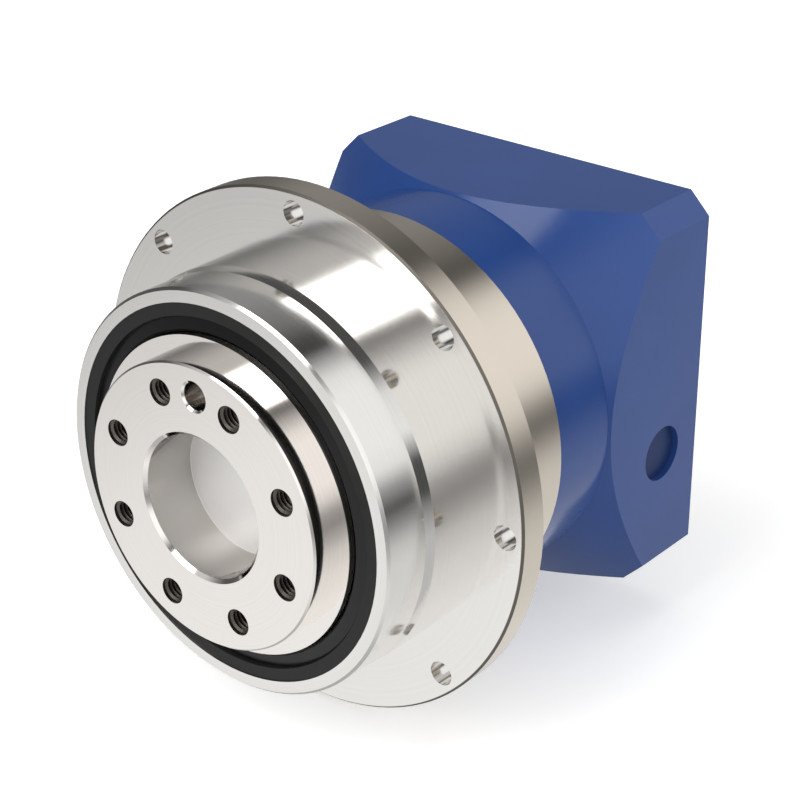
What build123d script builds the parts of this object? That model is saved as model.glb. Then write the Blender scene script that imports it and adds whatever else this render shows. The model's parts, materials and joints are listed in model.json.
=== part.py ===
from build123d import *
import math
import os

os.makedirs("parts", exist_ok=True)

# Helical planetary gearbox with a flange output and a clamping hub for the motor shaft.
# The origin is the centre of the output face. The gearbox axis is Y, and a station is a distance
# behind the output face, towards the motor. X is to the right and Z is up, seen from the output.

# Gaps
seat_gap = 0.02
running_gap = 0.1
pocket_gap = 0.15
side_gap = 0.1

# Output flange, which is also the planet carrier
output_diameter = 63.0
output_length = 6.0
output_edge = 0.4
centring_bore_diameter = 31.5
centring_bore_depth = 13.0
centring_bore_edge = 0.8
output_bolt_circle = 50.0
output_bolt_count = 8
output_bolt_turn = 22.5
output_tap_diameter = 5.0
output_tap_depth = 12.0
tap_edge = 0.45
dowel_diameter = 6.0
dowel_depth = 9.0
journal_diameter = 70.0
carrier_diameter = 59.6
carrier_end_gap = 0.2
carrier_bore_diameter = 28.0

# Housing with the mounting flange and the ring gear teeth
housing_diameter = 90.0
barrel_diameter = 89.2
rim_station = 6.6
rim_edge = 0.6
lead_in_station = 17.5
centring_station = 20.0
flange_station = 30.0
flange_thickness = 7.0
flange_diameter = 118.0
flange_edge = 0.5
flange_hole_margin = 4.5
flange_hole_diameter = 5.5
flange_hole_count = 8
housing_end = 61.5
front_lip_diameter = 73.0
front_bearing_recess = 0.2
rear_lip_gap = 0.2

# Motor adapter
adapter_width = 90.0
adapter_corner = 5.0
adapter_neck_diameter = 89.0
adapter_end = 114.4
adapter_edge = 0.4
cone_station = 79.2
cone_reach = 64.0
spigot_length = 2.5
spigot_bore_diameter = 64.0
spigot_bore_depth = 2.5
cavity_diameter = 66.0
motor_pilot_diameter = 70.0
motor_pilot_depth = 4.0
motor_bolt_circle = 90.0
motor_bolt_count = 4
motor_tap_diameter = 5.0
motor_tap_depth = 15.0
access_station = 100.4
access_height = -13.0
access_diameter = 13.0

# Screws that hold the adapter to the housing
adapter_screw_diameter = 4.0
adapter_screw_circle = 81.0
adapter_screw_length = 30.0
adapter_screw_seat = 84.0
adapter_screw_spread = 8.5
adapter_screw_head_diameter = 7.0
adapter_screw_head_height = 4.0
adapter_screw_socket = 3.0
screw_clearance = 0.25
head_clearance = 0.1
tap_runout = 1.5

# Gear teeth
sun_teeth = 18
planet_teeth = 18
ring_teeth = 54
planet_count = 3
transverse_module = 1.25
normal_pressure_angle = 20.0
helix_angle = 15.0
flank_start = 1.002
flank_thinning = 0.12
tooth_top = 0.96
tooth_bottom = 1.2
gear_station = 31.0
planet_width = 16.0
tooth_overrun = 0.5
sun_overrun = 1.0

# Planet bearings
pin_diameter = 7.0
pin_seat_depth = 10.0
pin_end_gap = 0.2
planet_roller_diameter = 3.5
planet_roller_length = 13.0
planet_roller_count = 9
thrust_washer_thickness = 0.8
thrust_washer_rim = 3.4
window_gap = 0.65

# Output bearings
front_bearing_bore = 60.0
front_bearing_diameter = 78.0
front_bearing_width = 10.0
front_roller_diameter = 5.6
front_roller_length = 5.8
rear_bearing_bore = 55.0
rear_bearing_diameter = 72.0
rear_bearing_width = 9.0
rear_roller_diameter = 5.0
rear_roller_length = 5.0
rear_bearing_station = 50.0
bearing_roller_count = 20
contact_angle = 10.0
cage_thickness = 1.0
cage_bar = 0.7
small_rib = 0.4
large_rib = 0.8

# Input shaft and its bearing
sun_neck_diameter = 18.8
shaft_seat_diameter = 35.0
shaft_collar_length = 3.0
input_bearing_station = 67.0
input_bearing_width = 10.0
input_bearing_diameter = 55.0
input_ball_share = 4 / 15
input_ball_count = 8
input_cage_share = 0.16
input_cage_gap_share = 0.11
input_cage_width = 7.6
bearing_lip_width = 1.0
bearing_lip_depth = 4.0
input_seal_width = 7.0
input_seal_diameter = 50.0
shaft_journal_diameter = 36.0
hub_diameter = 41.0
hub_station = 86.5
hub_end = 110.0
hub_edge = 0.6
motor_shaft_diameter = 19.0
motor_shaft_depth = 30.0
slit_width = 1.5
slit_length = 22.0
relief_height = -6.0
circlip_thickness = 1.5
circlip_groove_depth = 0.9
circlip_groove_gap = 0.1
circlip_radial = 3.0
circlip_opening = 40.0
cutter_reach = 1.5

# Clamping screw across the hub
clamp_screw_diameter = 5.0
clamp_screw_head_diameter = 8.5
clamp_screw_head_height = 5.0
clamp_screw_seat = 6.5
clamp_screw_length = 22.0
clamp_screw_socket = 4.0

# Seals
output_seal_diameter = 83.0
output_seal_width = 8.0
output_seal_recess = 0.3
seal_case_thickness = 1.2
seal_web_thickness = 2.0
seal_lip_thickness = 2.2
# Places along a seal's width, and at its dust lip, as shares
seal_waist = 0.4
seal_spring = 0.62
seal_edge = 0.65
seal_lip_back = 0.75
seal_lip_end = 0.85
dust_lip_rise = 0.1
dust_lip_depth = 0.4
dust_lip_bevel = 0.3
dust_groove = 0.4
dust_groove_rim = 0.6
spring_diameter = 1.2
o_ring_diameter = 1.1
o_ring_groove_width = 1.5
o_ring_groove_depth = 1.15

# End plate that holds the rear bearing on the carrier
end_plate_thickness = 2.0
end_plate_rim = 3.0
end_plate_bore = 32.0
end_screw_circle = 42.0
end_screw_diameter = 3.0
end_screw_head_diameter = 5.6
end_screw_length = 8.0
end_screw_socket = 2.0
countersink_slope = 45

# Access plug
plug_recess = 1.5
plug_length = 7.5
plug_wall = 1.4

# Sizes that follow from the ones above
output_radius = output_diameter / 2
journal_radius = journal_diameter / 2
housing_radius = housing_diameter / 2
barrel_radius = barrel_diameter / 2
carrier_radius = carrier_diameter / 2
flange_back = flange_station + flange_thickness
flange_bolt_radius = flange_diameter / 2 - flange_hole_margin
seal_station = rim_station + output_seal_recess
front_bearing_station = seal_station + output_seal_width + front_bearing_recess
front_bearing_end = front_bearing_station + front_bearing_width
rear_bearing_end = rear_bearing_station + rear_bearing_width
carrier_end = rear_bearing_end - carrier_end_gap
window_start = gear_station - thrust_washer_thickness - 2 * side_gap
window_end = gear_station + planet_width + thrust_washer_thickness + 2 * side_gap
mesh_station = gear_station + planet_width / 2
sun_radius = sun_teeth * transverse_module / 2
planet_radius = planet_teeth * transverse_module / 2
ring_radius = ring_teeth * transverse_module / 2
centre_distance = sun_radius + planet_radius
tooth_pitch = math.pi * transverse_module
tip_height = tooth_top * transverse_module
root_depth = tooth_bottom * transverse_module
pressure_angle = math.atan(
    math.tan(math.radians(normal_pressure_angle)) / math.cos(math.radians(helix_angle))
)
ring_root_radius = ring_radius + root_depth
pin_radius = pin_diameter / 2
planet_roller_circle = pin_radius + seat_gap + planet_roller_diameter / 2
planet_bore_radius = planet_roller_circle + planet_roller_diameter / 2 + seat_gap
planet_angles = [90 + 360 / planet_count * i for i in range(planet_count)]
seal_end = input_bearing_station + input_bearing_width + bearing_lip_width + input_seal_width
motor_bolt_angles = [45 + 360 / motor_bolt_count * i for i in range(motor_bolt_count)]
adapter_screw_angles = [
    a + side * adapter_screw_spread for a in motor_bolt_angles for side in (-1, 1)
]


def station(y, x=0.0, z=0.0):
    """Plane square to the gearbox axis, seen from the output: local x is X and local y is Z."""
    return Plane(origin=(x, y, z), x_dir=(1, 0, 0), z_dir=(0, -1, 0))


def polar(radius, angle):
    """X and Z of a point at an angle from +X towards +Z."""
    return radius * math.cos(math.radians(angle)), radius * math.sin(math.radians(angle))


def turn(points, mode=Mode.ADD):
    """Turn a closed outline of (radius, station) points about the gearbox axis."""
    with BuildSketch(Plane.XY) as outline:
        with BuildLine():
            Polyline(*points, close=True)
        make_face()
    revolve(outline.sketch, axis=Axis.Y, mode=mode)


def drill(radius, start, depth, places, mode=Mode.SUBTRACT):
    """Round holes, or pins, along the axis at the given X and Z places."""
    with BuildSketch(station(start)) as circles:
        with Locations(*places):
            Circle(radius)
    extrude(circles.sketch, amount=-depth, mode=mode)


def save(shape, name):
    """Label a finished piece and write its file."""
    shape.label = name
    export_step(shape, f"parts/{name}.step")


def involute(angle):
    return math.tan(angle) - angle


def flank(pitch_radius, thickness, low_radius, high_radius):
    """Foot, middle and tip of a tooth flank: an arc through three points of the involute,
    carried on down to the foot circle."""
    base_radius = pitch_radius * math.cos(pressure_angle)

    def on_involute(radius):
        half = thickness / (2 * pitch_radius) + involute(pressure_angle)
        half -= involute(math.acos(base_radius / radius))
        return Vector(radius * math.cos(half), radius * math.sin(half))

    first = on_involute(max(low_radius, base_radius * flank_start))
    middle = on_involute(pitch_radius)
    tip = on_involute(high_radius)
    arc_edge = Edge.make_three_point_arc(first, middle, tip)
    centre = arc_edge.arc_center
    distance = Vector(centre.X, centre.Y).length
    along = (low_radius**2 - arc_edge.radius**2 + distance**2) / (2 * distance)
    aside = math.sqrt(max(low_radius**2 - along**2, 0))
    toward = Vector(centre.X, centre.Y).normalized()
    across = Vector(-toward.Y, toward.X)
    feet = [toward * along + across * aside, toward * along - across * aside]
    foot = min(feet, key=lambda point: (point - first).length)
    return foot, middle, tip


def helical_teeth(
    teeth, thickness, low_radius, high_radius, turned, hand, start, length, centre, mode=Mode.ADD
):
    """Sweep a toothed outline along the axis with the twist of its helix. One tooth of it is
    centred at the angle turned, in the plane where the gears are matched."""
    pitch_radius = teeth * transverse_module / 2
    twist = hand * math.degrees(math.tan(math.radians(helix_angle)) / pitch_radius)
    begin = turned + twist * (start - mesh_station)
    step = 360 / teeth
    foot, middle, tip = flank(pitch_radius, thickness, low_radius, high_radius)

    def mirrored(point):
        return Vector(point.X, -point.Y)

    with BuildSketch(station(start, *centre)) as outline:
        with BuildLine():
            for index in range(teeth):
                angle = begin + index * step
                up = [mirrored(p).rotate(Axis.Z, angle) for p in (foot, middle, tip)]
                down = [p.rotate(Axis.Z, angle) for p in (tip, middle, foot)]
                next_foot = mirrored(foot).rotate(Axis.Z, angle + step)
                ThreePointArc(*up)
                ThreePointArc(up[2], polar(high_radius, angle), down[0])
                ThreePointArc(*down)
                ThreePointArc(down[2], polar(low_radius, angle + step / 2), next_foot)
        make_face()
    x, z = centre
    spine = Edge.make_line((x, start, z), (x, start + length, z))
    lead = 2 * math.pi * pitch_radius / math.tan(math.radians(helix_angle))
    guide = Helix(lead, length, pitch_radius, center=(x, start, z), direction=(0, 1, 0),
                  lefthand=hand > 0, mode=Mode.PRIVATE)
    sweep(outline.sketch, path=spine, binormal=guide, mode=mode)


def radial_seal(name, shaft_diameter, seat_diameter, start, width):
    """Shaft seal: a case, a web, a dust lip in front and a sealing lip with its garter spring."""
    inner = shaft_diameter / 2 + running_gap
    outer = seat_diameter / 2 - seat_gap
    lip_root = inner + seal_lip_thickness
    with BuildPart() as seal:
        turn([
            (outer, start),
            (outer, start + width),
            (outer - seal_case_thickness, start + width),
            (outer - seal_case_thickness, start + seal_web_thickness),
            (lip_root, start + seal_web_thickness),
            (lip_root, start + width * seal_lip_back),
            (inner + seal_lip_thickness / 2, start + width * seal_lip_end),
            (inner, start + width * seal_edge),
            (inner + seal_lip_thickness / 2, start + width * seal_waist),
            (inner, start + seal_web_thickness * dust_lip_depth),
            (inner + seal_lip_thickness * dust_lip_bevel, start + seal_web_thickness * dust_lip_rise),
            (lip_root + seal_lip_thickness * dust_groove, start + seal_web_thickness * dust_lip_depth),
            (lip_root + seal_lip_thickness * dust_groove_rim, start),
        ])
    save(seal.part, name)
    with BuildPart() as spring:
        with BuildSketch(Plane.XY):
            with Locations((lip_root + spring_diameter / 2 + side_gap, start + width * seal_spring)):
                Circle(spring_diameter / 2)
        revolve(axis=Axis.Y)
    save(spring.part, f"{name}_spring")


def tapered_bearing(name, bore, diameter, start, width, roller_diameter, roller_length, opens):
    """Tapered roller bearing: rings, rollers and cage. Its wide end faces the motor when opens
    is 1 and the output when opens is -1. Roller axis and both tracks meet on the gearbox axis."""
    middle_radius = (bore + diameter) / 4
    middle = start + width / 2
    angle = math.radians(contact_angle)
    apex = middle_radius / math.tan(angle)
    taper = math.atan(roller_diameter / 2 * math.sin(angle) / middle_radius)
    large_end = roller_length / 2 * math.cos(angle) + roller_diameter / 2 * math.sin(angle) + pocket_gap
    small_end = roller_length / 2 * math.cos(angle) - roller_diameter / 2 * math.sin(angle) + pocket_gap

    def track(along, side):
        """Radius of the inner track (side -1) or the outer track (side 1)."""
        return (apex + along) * math.tan(angle + side * taper) + side * running_gap / math.cos(angle)

    def placed(points):
        return [(radius, middle + opens * along) for radius, along in points]

    with BuildPart() as inner_ring:
        turn(placed([
            (bore / 2 + seat_gap, -width / 2),
            (track(-small_end, -1) + small_rib, -width / 2),
            (track(-small_end, -1) + small_rib, -small_end),
            (track(-small_end, -1), -small_end),
            (track(large_end, -1), large_end),
            (track(large_end, -1) + large_rib, large_end),
            (track(large_end, -1) + large_rib, width / 2),
            (bore / 2 + seat_gap, width / 2),
        ]))
    save(inner_ring.part, f"{name}_inner_ring")
    with BuildPart() as outer_ring:
        turn(placed([
            (diameter / 2 - seat_gap, -width / 2),
            (track(-width / 2, 1), -width / 2),
            (track(width / 2, 1), width / 2),
            (diameter / 2 - seat_gap, width / 2),
        ]))
    save(outer_ring.part, f"{name}_outer_ring")

    tip = Vector(0, middle - opens * apex)
    along_axis = Vector(math.sin(angle), opens * math.cos(angle))
    across_axis = Vector(math.cos(angle), -opens * math.sin(angle))
    roller_middle = middle_radius / math.sin(angle)

    def roller(gap):
        """One roller, or the larger shape of its pocket in the cage."""
        near = roller_middle - roller_length / 2 - gap
        far = roller_middle + roller_length / 2 + gap
        near_radius = near * math.tan(taper) + gap
        far_radius = far * math.tan(taper) + gap
        with BuildPart() as one:
            with BuildSketch(Plane.XY):
                with BuildLine():
                    Polyline(
                        tip + along_axis * near,
                        tip + along_axis * near + across_axis * near_radius,
                        tip + along_axis * far + across_axis * far_radius,
                        tip + along_axis * far,
                        close=True,
                    )
                make_face()
            revolve(axis=Axis((tip.X, tip.Y, 0), (along_axis.X, along_axis.Y, 0)))
        return one.part

    turns = [360 / bearing_roller_count * i for i in range(bearing_roller_count)]
    with BuildPart() as rollers:
        add([roller(0).rotate(Axis.Y, a) for a in turns])
    save(rollers.part, f"{name}_rollers")
    half_cage = roller_length / 2 + pocket_gap + cage_bar
    cage_ends = [tip + along_axis * (roller_middle + side * half_cage) for side in (-1, 1)]
    half_wall = across_axis * (cage_thickness / 2)
    with BuildPart() as cage:
        turn([
            cage_ends[0] - half_wall,
            cage_ends[0] + half_wall,
            cage_ends[1] + half_wall,
            cage_ends[1] - half_wall,
        ])
        add([roller(pocket_gap).rotate(Axis.Y, a) for a in turns], mode=Mode.SUBTRACT)
    save(cage.part, f"{name}_cage")


def circlip(name, inner_radius, outer_radius, start, opening_angle):
    """Retaining ring of round outline, open over an angle that faces opening_angle."""
    with BuildPart() as ring:
        with BuildSketch(station(start)):
            Circle(outer_radius)
            Circle(inner_radius, mode=Mode.SUBTRACT)
            with BuildLine(mode=Mode.PRIVATE) as wedge:
                reach = outer_radius * cutter_reach
                Polyline(
                    (0, 0),
                    polar(reach, opening_angle - circlip_opening / 2),
                    polar(reach, opening_angle + circlip_opening / 2),
                    close=True,
                )
            make_face(wedge.line, mode=Mode.SUBTRACT)
        extrude(amount=-circlip_thickness)
    save(ring.part, name)


# Output flange and planet carrier, turned from one piece
with BuildPart() as output_carrier:
    turn([
        (0, 0),
        (output_radius - output_edge, 0),
        (output_radius, output_edge),
        (output_radius, output_length),
        (journal_radius, output_length),
        (journal_radius, front_bearing_station),
        (front_bearing_bore / 2, front_bearing_station),
        (front_bearing_bore / 2, front_bearing_end),
        (carrier_radius, front_bearing_end),
        (carrier_radius, rear_bearing_station),
        (rear_bearing_bore / 2, rear_bearing_station),
        (rear_bearing_bore / 2, carrier_end),
        (0, carrier_end),
    ])
    bore_radius = centring_bore_diameter / 2
    turn([
        (0, 0),
        (bore_radius + centring_bore_edge, 0),
        (bore_radius, centring_bore_edge),
        (bore_radius, centring_bore_depth),
        (0, centring_bore_depth),
    ], mode=Mode.SUBTRACT)
    drill(carrier_bore_diameter / 2, window_start - sun_overrun, carrier_end, [(0, 0)])
    pin_places = [polar(centre_distance, a) for a in planet_angles]
    window_radius = planet_radius + tip_height + window_gap
    drill(window_radius, window_start, window_end - window_start, pin_places)
    drill(pin_radius + seat_gap, window_start - pin_seat_depth, carrier_end, pin_places)
    tap_places = [
        polar(output_bolt_circle / 2, output_bolt_turn + 360 / output_bolt_count * i)
        for i in range(output_bolt_count)
    ]
    drill(output_tap_diameter / 2, 0, output_tap_depth, tap_places)
    drill(dowel_diameter / 2, 0, dowel_depth, [polar(output_bolt_circle / 2, 90)])
    end_screw_places = [polar(end_screw_circle / 2, a + 180 / planet_count) for a in planet_angles]
    end_tap_depth = end_screw_length + tap_runout
    drill(end_screw_diameter / 2 + seat_gap, carrier_end - end_tap_depth, end_tap_depth, end_screw_places)
    mouths = output_carrier.edges().filter_by(GeomType.CIRCLE).group_by(Axis.Y)[0]
    chamfer([e for e in mouths if e.radius <= dowel_diameter / 2], length=tap_edge)
save(output_carrier.part, "output_carrier")

# Main housing: centring cylinder, mounting flange and internal helical teeth in one piece
with BuildPart() as main_housing:
    teeth_start = gear_station - tooth_overrun
    teeth_end = gear_station + planet_width + tooth_overrun
    ring_tip_radius = ring_radius - tip_height
    uncut_radius = ring_tip_radius - tooth_overrun
    flange_radius = flange_diameter / 2
    turn([
        (output_seal_diameter / 2, rim_station),
        (barrel_radius - rim_edge, rim_station),
        (barrel_radius, rim_station + rim_edge),
        (barrel_radius, lead_in_station),
        (housing_radius, centring_station),
        (housing_radius, flange_station),
        (flange_radius - flange_edge, flange_station),
        (flange_radius, flange_station + flange_edge),
        (flange_radius, flange_back - flange_edge),
        (flange_radius - flange_edge, flange_back),
        (housing_radius, flange_back),
        (housing_radius, housing_end),
        (rear_bearing_diameter / 2, housing_end),
        (rear_bearing_diameter / 2, rear_bearing_station),
        (ring_root_radius + rear_lip_gap, rear_bearing_station),
        (ring_root_radius + rear_lip_gap, teeth_end),
        (uncut_radius, teeth_end),
        (uncut_radius, teeth_start),
        (front_lip_diameter / 2, teeth_start),
        (front_lip_diameter / 2, front_bearing_end),
        (front_bearing_diameter / 2, front_bearing_end),
        (front_bearing_diameter / 2, seal_station + output_seal_width),
        (output_seal_diameter / 2, seal_station + output_seal_width),
    ])
    helical_teeth(
        ring_teeth, tooth_pitch / 2 + flank_thinning, ring_tip_radius, ring_root_radius,
        90 + 180 / ring_teeth, 1, teeth_start, teeth_end - teeth_start, (0, 0), mode=Mode.SUBTRACT,
    )
    flange_places = [
        polar(flange_bolt_radius, 90 + 360 / flange_hole_count * i) for i in range(flange_hole_count)
    ]
    drill(flange_hole_diameter / 2, flange_station, flange_thickness, flange_places)
    adapter_screw_places = [polar(adapter_screw_circle / 2, a) for a in adapter_screw_angles]
    adapter_tap_depth = adapter_screw_length - (adapter_screw_seat - housing_end) + tap_runout
    drill(
        adapter_screw_diameter / 2 + seat_gap, housing_end - adapter_tap_depth, adapter_tap_depth,
        adapter_screw_places,
    )
save(main_housing.part, "main_housing")

# Motor adapter: turned neck and cone that run out into a square block
with BuildPart() as adapter_housing:
    spigot_end = housing_end - spigot_length
    neck_radius = adapter_neck_diameter / 2
    with BuildSketch(station(housing_end)) as block:
        Rectangle(adapter_width, adapter_width)
        chamfer(block.vertices(), length=adapter_corner)
    extrude(amount=housing_end - adapter_end)
    turn([
        (0, housing_end),
        (neck_radius, housing_end),
        (neck_radius, cone_station),
        (cone_reach, cone_station + cone_reach - neck_radius),
        (cone_reach, adapter_end),
        (0, adapter_end),
    ], mode=Mode.INTERSECT)
    chamfer(adapter_housing.faces().sort_by(Axis.Y)[-1].outer_wire().edges(), length=adapter_edge)
    spigot_radius = rear_bearing_diameter / 2 - seat_gap
    turn([
        (spigot_bore_diameter / 2, spigot_end),
        (spigot_radius, spigot_end),
        (spigot_radius, housing_end),
        (spigot_bore_diameter / 2, housing_end),
    ])
    bearing_seat_radius = input_bearing_diameter / 2
    lip_start = input_bearing_station + input_bearing_width
    turn([
        (0, housing_end),
        (spigot_bore_diameter / 2, housing_end),
        (spigot_bore_diameter / 2, housing_end + spigot_bore_depth),
        (bearing_seat_radius, housing_end + spigot_bore_depth),
        (bearing_seat_radius, lip_start),
        (bearing_seat_radius - bearing_lip_depth, lip_start),
        (bearing_seat_radius - bearing_lip_depth, lip_start + bearing_lip_width),
        (input_seal_diameter / 2, lip_start + bearing_lip_width),
        (input_seal_diameter / 2, seal_end),
        (cavity_diameter / 2, seal_end),
        (cavity_diameter / 2, adapter_end - motor_pilot_depth),
        (motor_pilot_diameter / 2, adapter_end - motor_pilot_depth),
        (motor_pilot_diameter / 2, adapter_end),
        (0, adapter_end),
    ], mode=Mode.SUBTRACT)
    groove_start = input_bearing_station - circlip_thickness - circlip_groove_gap
    turn([
        (bearing_seat_radius - side_gap, groove_start),
        (bearing_seat_radius + circlip_groove_depth, groove_start),
        (bearing_seat_radius + circlip_groove_depth, input_bearing_station),
        (bearing_seat_radius - side_gap, input_bearing_station),
    ], mode=Mode.SUBTRACT)
    o_ring_station = housing_end - o_ring_groove_width
    turn([
        (spigot_radius - o_ring_groove_depth, o_ring_station),
        (spigot_radius + side_gap, o_ring_station),
        (spigot_radius + side_gap, housing_end),
        (spigot_radius - o_ring_groove_depth, housing_end),
    ], mode=Mode.SUBTRACT)
    shank_radius = adapter_screw_diameter / 2 + screw_clearance
    head_radius = adapter_screw_head_diameter / 2 + head_clearance
    drill(shank_radius, housing_end, adapter_screw_seat - housing_end, adapter_screw_places)
    drill(head_radius, adapter_screw_seat, adapter_end - adapter_screw_seat, adapter_screw_places)
    motor_tap_places = [polar(motor_bolt_circle / 2, a) for a in motor_bolt_angles]
    drill(motor_tap_diameter / 2, adapter_end - motor_tap_depth, motor_tap_depth, motor_tap_places)
    with BuildSketch(Plane.YZ.offset(adapter_width / 2)):
        with Locations((access_station, access_height)):
            Circle(access_diameter / 2)
    extrude(amount=-adapter_width / 2, mode=Mode.SUBTRACT)
save(adapter_housing.part, "adapter_housing")

# Sun gear, input shaft and clamping hub in one piece
with BuildPart() as sun_shaft:
    sun_start = gear_station - sun_overrun
    sun_end = gear_station + planet_width + sun_overrun
    neck = sun_neck_diameter / 2
    seat = shaft_seat_diameter / 2
    journal = shaft_journal_diameter / 2
    hub = hub_diameter / 2
    helical_teeth(
        sun_teeth, tooth_pitch / 2 - flank_thinning, sun_radius - root_depth, sun_radius + tip_height,
        90, -1, sun_start, sun_end - sun_start, (0, 0),
    )
    collar_start = groove_start - shaft_collar_length
    turn([
        (0, sun_end),
        (neck, sun_end),
        (neck, collar_start),
        (seat, collar_start),
        (seat, groove_start),
        (seat - circlip_groove_depth, groove_start),
        (seat - circlip_groove_depth, input_bearing_station),
        (seat, input_bearing_station),
        (seat, lip_start),
        (journal, lip_start),
        (journal, hub_station),
        (hub, hub_station),
        (hub, hub_end - hub_edge),
        (hub - hub_edge, hub_end),
        (0, hub_end),
    ])
    bore = motor_shaft_diameter / 2
    turn([
        (0, hub_end - motor_shaft_depth),
        (bore, hub_end - motor_shaft_depth),
        (bore, hub_end - hub_edge),
        (bore + hub_edge, hub_end),
        (0, hub_end),
    ], mode=Mode.SUBTRACT)
    with BuildSketch(station(hub_end)):
        with Locations((0, -hub_diameter / 2)):
            Rectangle(slit_width, hub_diameter)
    extrude(amount=slit_length, mode=Mode.SUBTRACT)
    with BuildSketch(station(hub_end - slit_length)):
        with Locations((0, relief_height - hub_diameter / 2)):
            Rectangle(hub_diameter * 2, hub_diameter)
    extrude(amount=-slit_width, mode=Mode.SUBTRACT)
    screw_place = (access_station, access_height)
    with BuildSketch(Plane.YZ.offset(clamp_screw_seat)):
        with Locations(screw_place):
            Circle(clamp_screw_head_diameter / 2 + screw_clearance)
    extrude(amount=hub_diameter, mode=Mode.SUBTRACT)
    with BuildSketch(Plane.YZ):
        with Locations(screw_place):
            Circle(clamp_screw_diameter / 2 + screw_clearance)
    extrude(amount=clamp_screw_seat, mode=Mode.SUBTRACT)
    with BuildSketch(Plane.YZ):
        with Locations(screw_place):
            Circle(clamp_screw_diameter / 2 + seat_gap)
    extrude(amount=-hub_diameter, mode=Mode.SUBTRACT)
save(sun_shaft.part, "sun_shaft")

# Socket head screw that closes the clamping hub
with BuildPart() as clamp_screw:
    with BuildSketch(Plane.YZ.offset(clamp_screw_seat)):
        with Locations(screw_place):
            Circle(clamp_screw_head_diameter / 2)
    extrude(amount=clamp_screw_head_height)
    with BuildSketch(Plane.YZ.offset(clamp_screw_seat)):
        with Locations(screw_place):
            Circle(clamp_screw_diameter / 2)
    extrude(amount=-clamp_screw_length)
    with BuildSketch(Plane.YZ.offset(clamp_screw_seat + clamp_screw_head_height)):
        with Locations(screw_place):
            RegularPolygon(clamp_screw_socket / 2, 6, major_radius=False)
    extrude(amount=-clamp_screw_head_height / 2, mode=Mode.SUBTRACT)
save(clamp_screw.part, "clamp_screw")

# Planet gear at the top of the carrier, turned into place for the others
with BuildPart() as top_planet:
    top_place = (0, centre_distance)
    helical_teeth(
        planet_teeth, tooth_pitch / 2 - flank_thinning,
        planet_radius - root_depth, planet_radius + tip_height,
        90 + 180 / planet_teeth, 1, gear_station, planet_width, top_place,
    )
    drill(planet_bore_radius, gear_station, planet_width, [top_place])

with BuildPart() as top_rollers:
    roller_start = mesh_station - planet_roller_length / 2
    roller_places = [
        (polar(planet_roller_circle, a)[0], centre_distance + polar(planet_roller_circle, a)[1])
        for a in [360 / planet_roller_count * i for i in range(planet_roller_count)]
    ]
    drill(planet_roller_diameter / 2, roller_start, planet_roller_length, roller_places, mode=Mode.ADD)

with BuildPart() as top_washers:
    for washer_start in (window_start + side_gap, window_end - side_gap - thrust_washer_thickness):
        with BuildSketch(station(washer_start, *top_place)):
            Circle(pin_radius + thrust_washer_rim)
            Circle(pin_radius + seat_gap, mode=Mode.SUBTRACT)
        extrude(amount=-thrust_washer_thickness)

with BuildPart() as top_pin:
    pin_start = window_start - pin_seat_depth
    drill(pin_radius, pin_start, carrier_end - pin_end_gap - pin_start, [top_place], mode=Mode.ADD)
    chamfer(top_pin.edges(), length=tap_edge)

for number in range(planet_count):
    turned_by = -360 / planet_count * number
    save(top_planet.part.rotate(Axis.Y, turned_by), f"planet_gear_{number + 1}")
    save(top_rollers.part.rotate(Axis.Y, turned_by), f"planet_rollers_{number + 1}")
    save(top_washers.part.rotate(Axis.Y, turned_by), f"planet_washers_{number + 1}")
    save(top_pin.part.rotate(Axis.Y, turned_by), f"planet_pin_{number + 1}")

# Tapered roller bearings of the carrier, wide ends outwards
tapered_bearing(
    "front_bearing", front_bearing_bore, front_bearing_diameter, front_bearing_station,
    front_bearing_width, front_roller_diameter, front_roller_length, -1,
)
tapered_bearing(
    "rear_bearing", rear_bearing_bore, rear_bearing_diameter, rear_bearing_station,
    rear_bearing_width, rear_roller_diameter, rear_roller_length, 1,
)

# Deep groove ball bearing of the input shaft
ball_circle = (shaft_seat_diameter + input_bearing_diameter) / 4
input_section = (input_bearing_diameter - shaft_seat_diameter) / 2
input_ball_diameter = ball_circle * input_ball_share
input_cage_thickness = input_section * input_cage_share
ball_middle = input_bearing_station + input_bearing_width / 2
half_cage_space = input_cage_thickness / 2 + input_section * input_cage_gap_share


def ball_bearing_ring(name, inner_radius, outer_radius):
    with BuildPart() as ring:
        with BuildSketch(Plane.XY):
            with Locations(((inner_radius + outer_radius) / 2, ball_middle)):
                Rectangle(outer_radius - inner_radius, input_bearing_width)
            with Locations((ball_circle, ball_middle)):
                Circle(input_ball_diameter / 2 + running_gap, mode=Mode.SUBTRACT)
        revolve(axis=Axis.Y)
    save(ring.part, name)


ball_bearing_ring("input_bearing_inner_ring", seat + seat_gap, ball_circle - half_cage_space)
ball_bearing_ring("input_bearing_outer_ring", ball_circle + half_cage_space, bearing_seat_radius - seat_gap)
ball_places = [polar(ball_circle, 360 / input_ball_count * i) for i in range(input_ball_count)]

with BuildPart() as input_bearing_balls:
    with Locations(*[(x, ball_middle, z) for x, z in ball_places]):
        Sphere(input_ball_diameter / 2)
save(input_bearing_balls.part, "input_bearing_balls")

with BuildPart() as input_bearing_cage:
    with BuildSketch(Plane.XY):
        with Locations((ball_circle, ball_middle)):
            Rectangle(input_cage_thickness, input_cage_width)
    revolve(axis=Axis.Y)
    for x, z in ball_places:
        with BuildSketch(Plane(origin=(0, ball_middle, 0), x_dir=(0, 1, 0), z_dir=(x, 0, z))):
            Circle(input_ball_diameter / 2 + pocket_gap)
        extrude(amount=input_bearing_diameter / 2, mode=Mode.SUBTRACT)
save(input_bearing_cage.part, "input_bearing_cage")

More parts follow.
